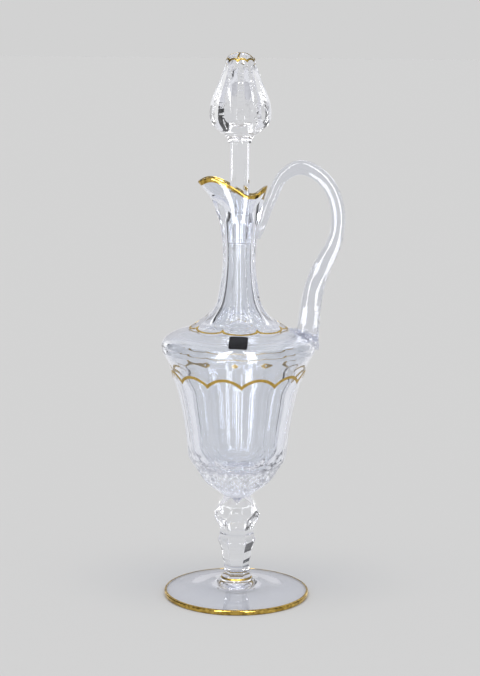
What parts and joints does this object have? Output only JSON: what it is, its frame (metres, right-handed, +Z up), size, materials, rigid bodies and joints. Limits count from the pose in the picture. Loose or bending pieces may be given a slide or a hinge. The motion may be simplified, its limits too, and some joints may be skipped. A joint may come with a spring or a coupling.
{
  "type": "crystal jug",
  "caption": "Footed cut-crystal jug with a pouring lip, an applied loop handle and a lift-out faceted stopper, lined with fired gold.",
  "frame": {"origin": "middle of the underside of the foot", "axes": "+Z up along the axis of the jug, -X towards the spout, +X towards the handle, -Y the front"},
  "size_m": [0.1332, 0.1128, 0.4002],
  "materials": {
    "crystal": "polished lead crystal, clear",
    "gilding": "fired burnished gold",
    "label": "black printed film, bare"
  },
  "bodies": {
    "jug": {"foot": "crystal", "foot_rim_gilding": "gilding", "stem_collar_gilding": "gilding", "stem_baluster": "crystal", "stem_knop": "crystal", "vessel": "crystal", "handle": "crystal", "shoulder_gilding": "gilding", "neck_base_gilding": "gilding", "lip_gilding": "gilding", "label": "label"},
    "stopper": {"stopper": "crystal", "stopper_ring_gilding": "gilding", "stopper_crown_gilding": "gilding"}
  },
  "joints": [
    {"name": "stopper_lift", "type": "slide", "parent": "jug", "child": "stopper", "axis": [0, 0, 1], "range_m": [0, 0.055]}
  ]
}
